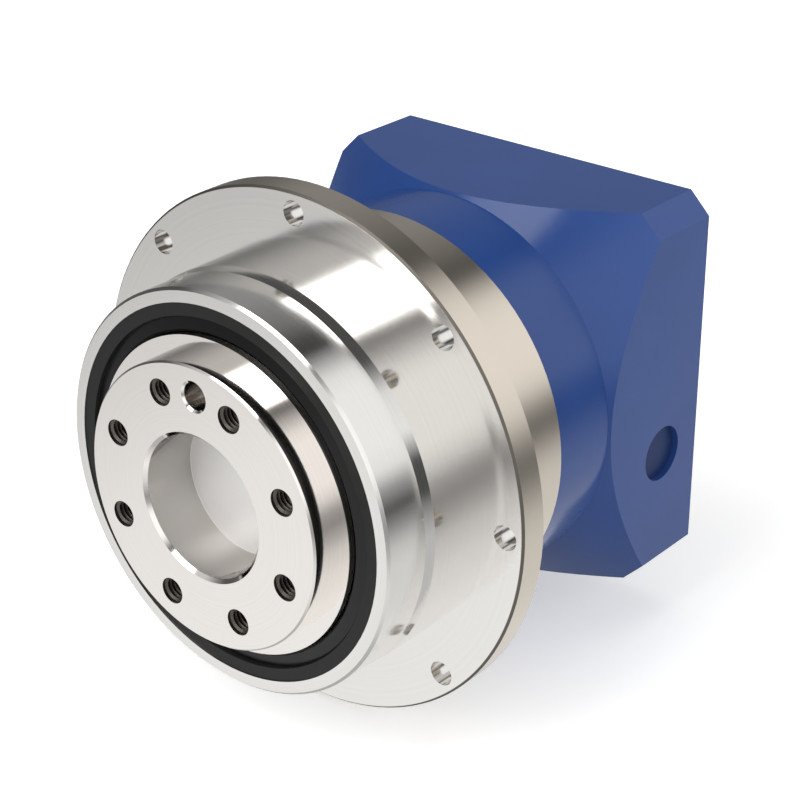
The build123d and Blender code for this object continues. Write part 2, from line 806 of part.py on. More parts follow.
# Seals, retaining rings and the ring between the housings
radial_seal("output_seal", journal_diameter, output_seal_diameter, seal_station, output_seal_width)
radial_seal("input_seal", shaft_journal_diameter, input_seal_diameter,
            lip_start + bearing_lip_width, input_seal_width)
circlip_start = input_bearing_station - circlip_thickness
circlip("shaft_circlip", seat - circlip_groove_depth + side_gap,
        seat - circlip_groove_depth + circlip_radial, circlip_start, 90)
circlip("bearing_circlip", bearing_seat_radius + circlip_groove_depth - circlip_radial,
        bearing_seat_radius + circlip_groove_depth - side_gap, circlip_start, -90)

with BuildPart() as adapter_o_ring:
    with BuildSketch(Plane.XY):
        with Locations((spigot_radius - o_ring_groove_depth / 2, housing_end - o_ring_groove_width / 2)):
            Circle(o_ring_diameter / 2)
    revolve(axis=Axis.Y)
save(adapter_o_ring.part, "adapter_o_ring")

# Plate on the end of the carrier and its countersunk screws
end_plate_end = rear_bearing_end + end_plate_thickness
end_plate_radius = rear_bearing_bore / 2 + end_plate_rim
csk_depth = (end_screw_head_diameter - end_screw_diameter) / 2

with BuildPart() as end_plate:
    turn([
        (end_plate_bore / 2, rear_bearing_end),
        (end_plate_radius, rear_bearing_end),
        (end_plate_radius, end_plate_end),
        (end_plate_bore / 2, end_plate_end),
    ])
    drill(end_screw_diameter / 2 + screw_clearance, rear_bearing_end, end_plate_thickness, end_screw_places)
    with BuildSketch(station(end_plate_end)):
        with Locations(*end_screw_places):
            Circle(end_screw_head_diameter / 2 + side_gap)
    extrude(amount=csk_depth, taper=countersink_slope, mode=Mode.SUBTRACT)
save(end_plate.part, "end_plate")

with BuildPart() as end_plate_screws:
    with BuildSketch(station(end_plate_end)):
        with Locations(*end_screw_places):
            Circle(end_screw_head_diameter / 2)
    extrude(amount=csk_depth, taper=countersink_slope)
    drill(end_screw_diameter / 2, end_plate_end - end_screw_length, end_screw_length, end_screw_places,
          mode=Mode.ADD)
    with BuildSketch(station(end_plate_end)):
        with Locations(*end_screw_places):
            RegularPolygon(end_screw_socket / 2, 6, major_radius=False)
    extrude(amount=end_screw_socket / 2, mode=Mode.SUBTRACT)
save(end_plate_screws.part, "end_plate_screws")

# Socket head screws from the motor side into the main housing
with BuildPart() as adapter_screws:
    drill(adapter_screw_head_diameter / 2, adapter_screw_seat, adapter_screw_head_height,
          adapter_screw_places, mode=Mode.ADD)
    drill(adapter_screw_diameter / 2, adapter_screw_seat - adapter_screw_length, adapter_screw_length,
          adapter_screw_places, mode=Mode.ADD)
    with BuildSketch(station(adapter_screw_seat + adapter_screw_head_height)):
        with Locations(*adapter_screw_places):
            RegularPolygon(adapter_screw_socket / 2, 6, major_radius=False)
    extrude(amount=adapter_screw_head_height / 2, mode=Mode.SUBTRACT)
save(adapter_screws.part, "adapter_screws")

# Plug in the access hole of the clamping screw
with BuildPart() as access_plug:
    plug_face = adapter_width / 2 - plug_recess
    plug_radius = access_diameter / 2 - seat_gap
    with BuildSketch(Plane.YZ.offset(plug_face)):
        with Locations(screw_place):
            Circle(plug_radius)
    extrude(amount=-plug_length)
    with BuildSketch(Plane.YZ.offset(plug_face - plug_length)):
        with Locations(screw_place):
            Circle(plug_radius - plug_wall)
    extrude(amount=plug_length - plug_wall, mode=Mode.SUBTRACT)
save(access_plug.part, "access_plug")
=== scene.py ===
import bpy
import bmesh
import json
import math
from mathutils import Matrix, Vector

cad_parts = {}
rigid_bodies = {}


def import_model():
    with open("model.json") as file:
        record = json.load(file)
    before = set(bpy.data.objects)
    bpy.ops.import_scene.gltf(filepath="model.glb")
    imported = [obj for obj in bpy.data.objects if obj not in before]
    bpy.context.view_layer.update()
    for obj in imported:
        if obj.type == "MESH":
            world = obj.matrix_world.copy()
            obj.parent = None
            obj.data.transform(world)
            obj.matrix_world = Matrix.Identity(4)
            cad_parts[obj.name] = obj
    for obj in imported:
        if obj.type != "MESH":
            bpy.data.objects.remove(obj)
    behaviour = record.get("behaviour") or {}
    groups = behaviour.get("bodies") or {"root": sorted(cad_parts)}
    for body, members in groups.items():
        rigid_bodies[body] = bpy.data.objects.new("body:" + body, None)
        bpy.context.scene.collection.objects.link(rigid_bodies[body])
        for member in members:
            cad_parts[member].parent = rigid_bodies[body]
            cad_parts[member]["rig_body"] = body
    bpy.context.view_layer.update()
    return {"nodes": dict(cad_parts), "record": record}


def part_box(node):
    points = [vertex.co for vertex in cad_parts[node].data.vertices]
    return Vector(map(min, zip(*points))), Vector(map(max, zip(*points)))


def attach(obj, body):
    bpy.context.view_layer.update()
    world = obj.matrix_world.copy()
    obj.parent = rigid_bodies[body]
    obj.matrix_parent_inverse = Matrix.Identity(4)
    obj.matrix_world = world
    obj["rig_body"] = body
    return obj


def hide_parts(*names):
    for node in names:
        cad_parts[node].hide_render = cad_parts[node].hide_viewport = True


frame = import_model()

bl_info = {
    "name": "Helical planetary gearbox",
    "version": (1, 0, 0),
    "blender": (4, 5, 0),
    "location": "View3D > Sidebar > Gearbox",
    "description": "Finishes, threads and studio for a coaxial planetary gearbox",
    "category": "Object",
}

MM = 0.001

# Corners nearer than this are one. Edges flatter than the angle are smooth, but on a turned piece
# not where the slope along the axis steps by more than this.
JOIN_DISTANCE = 0.0005 * MM
SMOOTH_ANGLE = math.radians(32)
TURNED_STEP = math.sin(math.radians(3))

# Where one finish, painted shade or painted light meets the next on the housing, the output flange and the
# seal, measured along the axis from the output face or out from the axis, and the width over which it changes
FLANGE_BEVEL_END = 30.5 * MM
FLANGE_BACK = 36.9 * MM
FLANGE_EDGE = 58.55 * MM
BORE_DEPTH = 13.0 * MM
BORE_RADIUS = 15.75 * MM
SEAL_LIP_RADIUS = 38.4 * MM
CHANGE = 0.1 * MM

# What lies within the first distance outside a hole's radius is its wall, and past the second not
WALL_NEAR = 0.02 * MM
WALL_FAR = 0.08 * MM

# Tapped holes: the angle of the first of each circle from +X, how far in the drilled wall is opened,
# the margin at the face, how exactly a corner must lie on the wall, the wall's place inside the
# thread's diameter, the face's distance to the first ridge, and the ridge as a share of the
# difference between the thread's diameter and the core's
FIRST_OUTPUT_HOLE = math.radians(22.5)
FIRST_MOTOR_HOLE = math.radians(45.0)
OUTPUT_DRILLED = 0.0115
MOTOR_DRILLED = 0.0145
DRILLED_MARGIN = 0.0001
WALL_TOLERANCE = 0.05 * MM
WALL_INSET = 0.00005
THREAD_START = 0.0005
RIDGE_SHARE = 0.4

# Socket head screws: the ridge as a share of the pitch, rim and socket as shares of the thread's
# diameter, and the thread as a share of the length
SCREW_RIDGE_SHARE = 0.45
SCREW_RIM_SHARE = 0.1
SCREW_SOCKET_SHARE = 0.433
SCREW_THREAD_SHARE = 0.66
ADAPTER_SCREW_PITCH = 0.0007
CLAMP_SCREW_PITCH = 0.0008

# How finely round shapes are divided
HEAD_SIDES = 48
SHANK_SIDES = 32
HELIX_STEPS = 28
FLOOR_SIDES = 64

# The part of a noise's range that most of it fills, as inputs of a Map Range node, and the setting
# that makes a Mix node mix colours
MIDDLE = {"i1": 0.3, "i2": 0.7}
COLOUR_MIX = {"data_type": "RGBA"}


# Small helpers

def linear(hex_colour, share=1.0):
    """Turn an sRGB hex colour into the linear values that shaders take, lighter or darker by a share."""
    values = [int(hex_colour[i:i + 2], 16) / 255 for i in (1, 3, 5)]
    straight = [v / 12.92 if v <= 0.04045 else ((v + 0.055) / 1.055) ** 2.4 for v in values]
    return (*(min(v * share, 1.0) for v in straight), 1.0)


def add_node(tree, kind, settings=None, **inputs):
    """Add a node with its settings. An input is a value, a socket or a node to link from; its name
    is the socket's name with spaces as underscores, or its number after the letter i."""
    node = tree.nodes.new(kind)
    for key, value in (settings or {}).items():
        setattr(node, key, value)
    for key, value in inputs.items():
        socket = node.inputs[int(key[1:]) if key[1:].isdigit() else key.replace("_", " ")]
        if isinstance(value, bpy.types.Node):
            value = next(out for out in value.outputs if out.enabled)
        if isinstance(value, bpy.types.NodeSocket):
            tree.links.new(value, socket)
        else:
            socket.default_value = value
    return node


def new_material(name):
    """Empty node material and the object's own coordinates."""
    material = bpy.data.materials.new(name)
    material.use_nodes = True
    tree = material.node_tree
    tree.nodes.clear()
    return material, tree, add_node(tree, "ShaderNodeTexCoord").outputs["Object"]


# Materials

def from_axis(tree, place):
    """The parts of a place, the place with no part along the axis, and how far from the axis it is."""
    parts = add_node(tree, "ShaderNodeSeparateXYZ", i0=place).outputs
    flat = add_node(tree, "ShaderNodeCombineXYZ", X=parts[0], Z=parts[2])
    return parts, flat, add_node(tree, "ShaderNodeVectorMath", {"operation": "LENGTH"}, i0=flat)


def turned_steel(name, colour, roughness, marks_mm, mark_depth, rear=None, holes=None, bored=False):
    """Turned and polished steel. The tool leaves rings about the axis, so the marks follow the
    radius on a face and the axis on a cylinder, and each ring scatters a little more or less light."""
    material, tree, place = new_material(name)
    parts, flat, across = from_axis(tree, place)
    ring = add_node(tree, "ShaderNodeMath", {"operation": "ADD"}, i0=across, i1=parts[1])
    marks = add_node(tree, "ShaderNodeTexNoise", {"noise_dimensions": "1D"}, W=ring,
                     Scale=1 / (marks_mm * MM), Detail=3.0, Roughness=0.6)
    cloud = add_node(tree, "ShaderNodeTexNoise", Vector=place, Scale=1 / (14 * MM), Detail=3.0)
    tone = add_node(tree, "ShaderNodeMapRange", i0=marks, **MIDDLE)
    base = add_node(tree, "ShaderNodeMix", COLOUR_MIX, i0=tone, i6=linear(colour, 0.97), i7=linear(colour))
    soft = add_node(tree, "ShaderNodeMapRange", i0=marks, **MIDDLE, i3=roughness * 0.92, i4=roughness * 1.08)
    patches = add_node(tree, "ShaderNodeMapRange", i0=cloud, i1=0.35, i2=0.65, i3=-0.012, i4=0.012)
    rough = add_node(tree, "ShaderNodeMath", {"operation": "ADD"}, i0=soft, i1=patches)
    metal = 1.0
    # The rear finish brings painted shade on the flange's front bevel
    if rear:
        base, rough = rear_finish_and_bevel_shade(tree, parts[1], across, base, rough, *rear)
    # Painted shade inside the tapped holes and the dowel hole
    if holes:
        base, rough = hole_walls_painted_shade(tree, parts, flat, across, base, rough, *holes)
    # Painted shade on the blind bore's wall and painted light on its floor
    if bored:
        base, rough, metal = blind_bore_shade_and_light(tree, parts[1], across, base, rough)
    bump = add_node(tree, "ShaderNodeBump", Strength=0.2, Distance=mark_depth * MM, Height=marks)
    shader = add_node(tree, "ShaderNodeBsdfPrincipled", Base_Color=base, Metallic=metal, Roughness=rough,
                      Normal=bump)
    add_node(tree, "ShaderNodeOutputMaterial", Surface=shader)
    return material


def rear_finish_and_bevel_shade(tree, along, across, base, rough, rear_colour, rear_roughness):
    """Behind the flange and on its edge the steel is only turned, so it looks warmer and softer. The
    flange's narrow front bevel is rough and painted dark as painted shade, so that it shows no highlight."""
    past = add_node(tree, "ShaderNodeMapRange", i0=along, i1=FLANGE_BACK, i2=FLANGE_BACK + CHANGE)
    edge = add_node(tree, "ShaderNodeMapRange", i0=across, i1=FLANGE_EDGE - CHANGE, i2=FLANGE_EDGE)
    behind = add_node(tree, "ShaderNodeMath", {"operation": "MAXIMUM"}, i0=past, i1=edge)
    base = add_node(tree, "ShaderNodeMix", COLOUR_MIX, i0=behind, i6=base, i7=linear(rear_colour))
    rough = add_node(tree, "ShaderNodeMix", i0=behind, i2=rough, i3=rear_roughness)
    # Painted shade: the flange's front bevel is painted dark and rough so that it shows no highlight
    bevel = add_node(tree, "ShaderNodeMapRange", i0=along, i1=FLANGE_BEVEL_END,
                     i2=FLANGE_BEVEL_END + 0.02 * MM, i3=edge, i4=0.0)
    base = add_node(tree, "ShaderNodeMix", COLOUR_MIX, i0=bevel, i6=base, i7=linear("#77726B"))
    return base, add_node(tree, "ShaderNodeMix", i0=bevel, i2=rough, i3=0.5)


def hole_walls_painted_shade(tree, parts, flat, across, base, rough, count, circle, radius):
    """The walls of a circle of tapped holes are drilled, rougher and painted dark as painted shade inside
    them, and the reamed dowel hole above the axis gets a lighter painted shade."""
    angle = add_node(tree, "ShaderNodeMath", {"operation": "ARCTAN2"}, i0=parts[2], i1=parts[0])
    from_first = add_node(tree, "ShaderNodeMath", {"operation": "SUBTRACT"}, i0=angle, i1=FIRST_OUTPUT_HOLE)
    to_hole = add_node(tree, "ShaderNodeMath", {"operation": "WRAP"}, i0=from_first, i1=math.pi / count,
                       i2=-math.pi / count)
    cosine = add_node(tree, "ShaderNodeMath", {"operation": "COSINE"}, i0=to_hole)
    sine = add_node(tree, "ShaderNodeMath", {"operation": "SINE"}, i0=to_hole)
    outwards = add_node(tree, "ShaderNodeMath", {"operation": "MULTIPLY_ADD"}, i0=across, i1=cosine,
                        i2=-circle)
    sideways = add_node(tree, "ShaderNodeMath", {"operation": "MULTIPLY"}, i0=across, i1=sine)
    offset = add_node(tree, "ShaderNodeCombineXYZ", X=outwards, Y=sideways)
    to_tapped = add_node(tree, "ShaderNodeVectorMath", {"operation": "LENGTH"}, i0=offset)
    to_dowel = add_node(tree, "ShaderNodeVectorMath", {"operation": "DISTANCE"}, i0=flat,
                        i1=(0.0, 0.0, circle))
    reamed = add_node(tree, "ShaderNodeMapRange", i0=to_dowel, i1=radius + WALL_NEAR, i2=radius + WALL_FAR,
                      i3=0.3, i4=0.0)
    wall = add_node(tree, "ShaderNodeMapRange", i0=to_tapped, i1=radius + WALL_NEAR, i2=radius + WALL_FAR,
                    i3=1.0, i4=reamed)
    drilled_wall_and_shade = add_node(tree, "ShaderNodeMapRange", i0=parts[1], i1=0.05 * MM, i2=0.6 * MM, i3=0.0, i4=wall)
    # Painted shade: the hole walls are painted dark where shade falls in them, the dowel hole less
    base = add_node(tree, "ShaderNodeMix", COLOUR_MIX, i0=drilled_wall_and_shade, i6=base, i7=linear("#6B6762"))
    return base, add_node(tree, "ShaderNodeMix", i0=drilled_wall_and_shade, i2=rough, i3=0.38)


def blind_bore_shade_and_light(tree, along, across, base, rough):
    """The blind bore's wall is painted darker as painted shade. Its floor, rough from the milling cutter and
    less metallic, is painted pale as a painted reflection that makes it as bright as the face.
    """
    inside = add_node(tree, "ShaderNodeMapRange", i0=across, i1=BORE_RADIUS + WALL_NEAR,
                      i2=BORE_RADIUS + WALL_FAR, i3=1.0, i4=0.0)
    milled_floor_painted_light = add_node(tree, "ShaderNodeMapRange", i0=along, i1=BORE_DEPTH - CHANGE,
                      i2=BORE_DEPTH - 0.04 * MM, i3=0.0, i4=inside)
    # Painted shade on the bore's wall, then painted light on its floor
    base = add_node(tree, "ShaderNodeMix", COLOUR_MIX, i0=inside, i6=base, i7=linear("#BDBAB6"))
    base = add_node(tree, "ShaderNodeMix", COLOUR_MIX, i0=milled_floor_painted_light, i6=base, i7=linear("#F7F5F3"))
    rough = add_node(tree, "ShaderNodeMix", i0=milled_floor_painted_light, i2=rough, i3=0.5)
    return base, rough, add_node(tree, "ShaderNodeMapRange", i0=milled_floor_painted_light, i3=1.0, i4=0.4)


def ground_steel(name, colour, roughness):
    """Hardened and ground steel of gears and bearings: dull grey with a fine even grain, drawn
    coarser than the real grain so that it shows."""
    material, tree, place = new_material(name)
    grain = add_node(tree, "ShaderNodeTexNoise", Vector=place, Scale=1 / (0.5 * MM), Detail=4.0,
                     Roughness=0.7)
    tone = add_node(tree, "ShaderNodeMapRange", i0=grain, i1=0.35, i2=0.65)
    base = add_node(tree, "ShaderNodeMix", COLOUR_MIX, i0=tone, i6=linear(colour, 0.82), i7=linear(colour))
    rough = add_node(tree, "ShaderNodeMapRange", i0=grain, **MIDDLE, i3=roughness - 0.05, i4=roughness + 0.06)
    bump = add_node(tree, "ShaderNodeBump", Strength=0.3, Distance=0.01 * MM, Height=grain)
    shader = add_node(tree, "ShaderNodeBsdfPrincipled", Base_Color=base, Metallic=1.0, Roughness=rough,
                      Normal=bump)
    add_node(tree, "ShaderNodeOutputMaterial", Surface=shader)
    return material


def dark_steel(name, colour, metal):
    """Steel with a thin dark layer from blackening, or darkened as painted shade in a thread, that still
    shines.
    """
    material, tree, place = new_material(name)
    patches = add_node(tree, "ShaderNodeTexNoise", Vector=place, Scale=1 / (2 * MM), Detail=3.0)
    tone = add_node(tree, "ShaderNodeMapRange", i0=patches, i1=0.4, i2=0.7)
    base = add_node(tree, "ShaderNodeMix", COLOUR_MIX, i0=tone, i6=linear(colour), i7=linear(colour, 1.6))
    rough = add_node(tree, "ShaderNodeMapRange", i0=patches, **MIDDLE, i3=0.34, i4=0.46)
    shader = add_node(tree, "ShaderNodeBsdfPrincipled", Base_Color=base, Metallic=metal, Roughness=rough)
    add_node(tree, "ShaderNodeOutputMaterial", Surface=shader)
    return material


def blue_lacquer(name, colour, roughness):
    """Glossy blue stoving paint on aluminium: a smooth film with a slight orange peel."""
    material, tree, place = new_material(name)
    peel = add_node(tree, "ShaderNodeTexNoise", Vector=place, Scale=1 / (0.9 * MM), Detail=2.0)
    shade = add_node(tree, "ShaderNodeTexNoise", Vector=place, Scale=1 / (30 * MM), Detail=2.0)
    tone = add_node(tree, "ShaderNodeMapRange", i0=shade, **MIDDLE)
    base = add_node(tree, "ShaderNodeMix", COLOUR_MIX, i0=tone, i6=linear(colour, 0.93),
                    i7=linear(colour, 1.05))
    rough = add_node(tree, "ShaderNodeMapRange", i0=peel, **MIDDLE, i3=roughness - 0.03, i4=roughness + 0.03)
    bump = add_node(tree, "ShaderNodeBump", Strength=0.2, Distance=0.012 * MM, Height=peel)
    shader = add_node(tree, "ShaderNodeBsdfPrincipled", Base_Color=base, IOR=1.43, Roughness=rough,
                      Normal=bump)
    add_node(tree, "ShaderNodeOutputMaterial", Surface=shader)
    return material


def moulded_rubber(name, colour, roughness, lip_radius=None):
    """Black nitrile rubber of a shaft seal: moulded, matt, with a fine skin. Inside the lip radius
    it is darker and shinier, from the grease on the lip."""
    material, tree, place = new_material(name)
    skin = add_node(tree, "ShaderNodeTexNoise", Vector=place, Scale=1 / (0.35 * MM), Detail=3.0)
    tone = add_node(tree, "ShaderNodeMapRange", i0=skin, **MIDDLE)
    base = add_node(tree, "ShaderNodeMix", COLOUR_MIX, i0=tone, i6=linear(colour), i7=linear(colour, 1.5))
    rough = add_node(tree, "ShaderNodeMapRange", i0=skin, **MIDDLE, i3=roughness - 0.06, i4=roughness + 0.06)
    if lip_radius:
        across = from_axis(tree, place)[2]
        outer = add_node(tree, "ShaderNodeMapRange", i0=across, i1=lip_radius, i2=lip_radius + 0.2 * MM)
        base = add_node(tree, "ShaderNodeMix", COLOUR_MIX, i0=outer, i6=linear(colour, 0.45), i7=base)
        rough = add_node(tree, "ShaderNodeMix", i0=outer, i2=roughness - 0.15, i3=rough)
    bump = add_node(tree, "ShaderNodeBump", Strength=0.3, Distance=0.02 * MM, Height=skin)
    shader = add_node(tree, "ShaderNodeBsdfPrincipled", Base_Color=base, Specular_IOR_Level=0.3,
                      Roughness=rough, Normal=bump)
    add_node(tree, "ShaderNodeOutputMaterial", Surface=shader)
    return material


def moulded_plastic(name, colour, roughness):
    """Dark blue polyethylene plug: moulded, slightly waxy, with a fine spark-eroded grain."""
    material, tree, place = new_material(name)
    grain = add_node(tree, "ShaderNodeTexNoise", Vector=place, Scale=1 / (0.4 * MM), Detail=3.0)
    tone = add_node(tree, "ShaderNodeMapRange", i0=grain, **MIDDLE)
    base = add_node(tree, "ShaderNodeMix", COLOUR_MIX, i0=tone, i6=linear(colour, 0.85), i7=linear(colour))
    rough = add_node(tree, "ShaderNodeMapRange", i0=grain, **MIDDLE, i3=roughness - 0.05, i4=roughness + 0.05)
    bump = add_node(tree, "ShaderNodeBump", Strength=0.3, Distance=0.02 * MM, Height=grain)
    shader = add_node(tree, "ShaderNodeBsdfPrincipled", Base_Color=base, IOR=1.5, Specular_IOR_Level=0.2,
                      Roughness=rough, Normal=bump)
    add_node(tree, "ShaderNodeOutputMaterial", Surface=shader)
    return material


MATERIALS = {}


def finish_for(key):
    """The material of a finish, made at its first use from the panel's colours."""
    if key not in MATERIALS:
        finish = bpy.context.scene.gearbox_finish
        thread = bpy.context.scene.gearbox_thread
        tapped = (thread.output_count, thread.output_circle / 2, thread.nominal / 2)
        makers = {
            # Turned steel with painted shade on the flange's front bevel
            "housing_steel": lambda: turned_steel(
                "bright_turned_steel_and_bevel_shade", finish.housing_colour, finish.housing_roughness, 0.7, 0.004,
                rear=(finish.rear_colour, finish.rear_roughness)),
            # Turned steel with painted shade in the holes and the bore, and painted light on the bore's floor
            "carrier_steel": lambda: turned_steel(
                "fine_turned_steel_shade_and_light", finish.carrier_colour, finish.carrier_roughness, 0.5, 0.004,
                holes=tapped, bored=True),
            "hub_steel": lambda: turned_steel("plain_turned_steel", "#B9B7B3", 0.3, 0.8, 0.01),
            "gear_steel": lambda: ground_steel("ground_gear_steel", "#A9A8A5", 0.3),
            "bearing_steel": lambda: ground_steel("polished_bearing_steel", "#C9C9C8", 0.16),
            "cage_steel": lambda: ground_steel("pressed_sheet_steel", "#9A9993", 0.38),
            "spring_steel": lambda: dark_steel("blued_spring_steel", "#33332F", 0.9),
            "screw_steel": lambda: dark_steel("black_oxide_steel", "#262626", 0.85),
            # Painted shade: the thread ridges are dark steel standing in for the shade inside the holes
            "thread_steel": lambda: dark_steel("shade_darkened_thread_steel", "#55514C", 1.0),
            "blue_paint": lambda: blue_lacquer(
                "blue_stoving_lacquer", finish.paint_colour, finish.paint_roughness),
            "blue_plastic": lambda: moulded_plastic("blue_polyethylene", finish.plug_colour, 0.42),
            "rubber": lambda: moulded_rubber("black_nitrile_rubber", "#121212", 0.5),
            "lip_rubber": lambda: moulded_rubber(
                "greased_nitrile_rubber", "#141413", 0.45, lip_radius=SEAL_LIP_RADIUS),
        }
        MATERIALS[key] = makers[key]()
    return MATERIALS[key]


# Meshes

def slot_of_node(node):
    """The material slot that the record gives a node."""
    for part in frame["record"]["subparts"]:
        if part["node"] == node:
            return part["material_slot"]
    raise ValueError(f"no slot for {node}")


def add_piece(name, mesh, body, material):
    """Link a finished mesh as a piece that moves with a body."""
    piece = bpy.data.objects.new(name, mesh)
    bpy.context.scene.collection.objects.link(piece)
    mesh.materials.clear()
    mesh.materials.append(material)
    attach(piece, body)
    return piece


def joined_mesh(node):
    """Copy of a node's mesh with the corners of its triangles joined."""
    work = bmesh.new()
    work.from_mesh(frame["nodes"][node].data)
    bmesh.ops.remove_doubles(work, verts=work.verts, dist=JOIN_DISTANCE)
    return work


def shell_middles(node):
    """The middle of each separate shell of a node, such as each screw or ball."""
    work = joined_mesh(node)
    left = set(work.verts)
    middles = []
    while left:
        shell, fringe = [], [left.pop()]
        while fringe:
            corner = fringe.pop()
            shell.append(corner.co.copy())
            for edge in corner.link_edges:
                other = edge.other_vert(corner)
                if other in left:
                    left.remove(other)
                    fringe.append(other)
        low = [min(c[i] for c in shell) for i in range(3)]
        high = [max(c[i] for c in shell) for i in range(3)]
        middles.append(Vector([(a + b) / 2 for a, b in zip(low, high)]))
    work.free()
    return middles


def dress(node, key=None, reshape=None, turned=False):
    """Stand a smooth copy with its real finish in place of a node: round faces smooth, edges sharp.
    On a turned piece the rings between a cylinder and a shallow cone are edges too."""
    work = joined_mesh(node)
    if reshape:
        reshape(work)
    for face in work.faces:
        face.smooth = True
    for edge in work.edges:
        edge.smooth = len(edge.link_faces) == 2 and edge.calc_face_angle(0.0) < SMOOTH_ANGLE
        if turned and edge.smooth:
            first, second = edge.link_faces
            edge.smooth = abs(first.normal.y - second.normal.y) < TURNED_STEP
    mesh = bpy.data.meshes.new(f"{node}_surface")
    work.to_mesh(mesh)
    work.free()
    slot = slot_of_node(node)
    body = frame["nodes"][node]["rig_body"]
    piece = add_piece(f"{node}_dressed", mesh, body, finish_for(key or slot))
    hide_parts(node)


def open_holes(circle, count, first, low, high, core, wall):
    """Reshaping that opens drilled holes from their core to the thread's outer diameter, because
    the ridges of the thread are pieces of their own."""
    axes = [Vector((circle * math.cos(a), 0, circle * math.sin(a)))
            for a in (first + math.tau * i / count for i in range(count))]

    def reshape(work):
        for corner in work.verts:
            if not low < corner.co.y < high:
                continue
            for axis in axes:
                out = Vector((corner.co.x - axis.x, 0, corner.co.z - axis.z))
                if abs(out.length - core) < WALL_TOLERANCE:
                    out *= wall / out.length
                    corner.co = Vector((axis.x + out.x, corner.co.y, axis.z + out.z))
                    break
    return reshape


def node_tree(name, sizes):
    """Empty geometry tree with a named input for each size; counts are whole numbers."""
    tree = bpy.data.node_groups.new(name, "GeometryNodeTree")
    tree.interface.new_socket("Places", in_out="INPUT", socket_type="NodeSocketGeometry")
    for label, value in sizes.items():
        kind = "NodeSocketInt" if isinstance(value, int) else "NodeSocketFloat"
        tree.interface.new_socket(label, in_out="INPUT", socket_type=kind).default_value = value
    tree.interface.new_socket("Material", in_out="INPUT", socket_type="NodeSocketMaterial")
    tree.interface.new_socket("Geometry", in_out="OUTPUT", socket_type="NodeSocketGeometry")
    return tree, tree.nodes.new("NodeGroupInput").outputs


def close_tree(tree, geometry, material):
    """End a tree with real geometry in its own material."""
    real = add_node(tree, "GeometryNodeRealizeInstances", Geometry=geometry)
    painted = add_node(tree, "GeometryNodeSetMaterial", Geometry=real, Material=material)
    add_node(tree, "NodeGroupOutput", Geometry=painted)


def grow(name, tree, places, sizes, body, material):
    """Run a tree at the given places and sizes and keep what it makes as a plain piece."""
    start = bpy.data.meshes.new(f"{name}_places")
    start.from_pydata(places, [], [])
    host = bpy.data.objects.new(f"{name}_source", start)
    bpy.context.scene.collection.objects.link(host)
    modifier = host.modifiers.new("shape", "NODES")
    modifier.node_group = tree
    for item in tree.interface.items_tree:
        if item.in_out == "INPUT" and item.name != "Places":
            modifier[item.identifier] = material if item.name == "Material" else sizes[item.name]
    host.update_tag()
    bpy.context.view_layer.update()
    made = bpy.data.meshes.new_from_object(host.evaluated_get(bpy.context.evaluated_depsgraph_get()))
    host.modifiers.remove(modifier)
    bpy.data.objects.remove(host)
    if not made.polygons:
        raise RuntimeError(f"the tree for {name} made nothing")
    made.name = f"{name}_mesh"
    return add_piece(name, made, body, material)


def replace_with(node, tree, sizes):
    """Grow a tree's pieces where a node's shells stand, in the node's own finish."""
    slot = slot_of_node(node)
    body = frame["nodes"][node]["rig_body"]
    piece = grow(f"{node}_made", tree, shell_middles(node), sizes, body, finish_for(slot))
    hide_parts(node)


def add_helix(tree, radius, ridge, turns, length):
    """Thread ridge: a helix round Z from the origin upwards, with a three-sided section."""
    helix = add_node(tree, "GeometryNodeCurveSpiral", Resolution=HELIX_STEPS, Rotations=turns,
                     Start_Radius=radius, End_Radius=radius, Height=length)
    upright = add_node(tree, "GeometryNodeSetCurveNormal", {"mode": "Z_UP"}, Curve=helix)
    section = add_node(tree, "GeometryNodeCurvePrimitiveCircle", Resolution=3, Radius=ridge)
    swept = add_node(tree, "GeometryNodeCurveToMesh", Curve=upright, i1=section, Fill_Caps=True)
    return add_node(tree, "GeometryNodeSetShadeSmooth", Geometry=swept, Shade_Smooth=False)


def thread_tree():
    """Thread ridges of tapped holes, one at each place, running towards +Y."""
    tree, size = node_tree("tapped_thread", {
        "Radius": 0.0028, "Ridge": 0.0004, "Turns": 10.0, "Length": 0.010,
    })
    ridge = add_helix(tree, size["Radius"], size["Ridge"], size["Turns"], size["Length"])
    holes = add_node(tree, "GeometryNodeInstanceOnPoints", Points=size["Places"], Instance=ridge,
                     Rotation=(math.radians(-90), 0, 0))
    close_tree(tree, holes.outputs[0], size["Material"])
    return tree


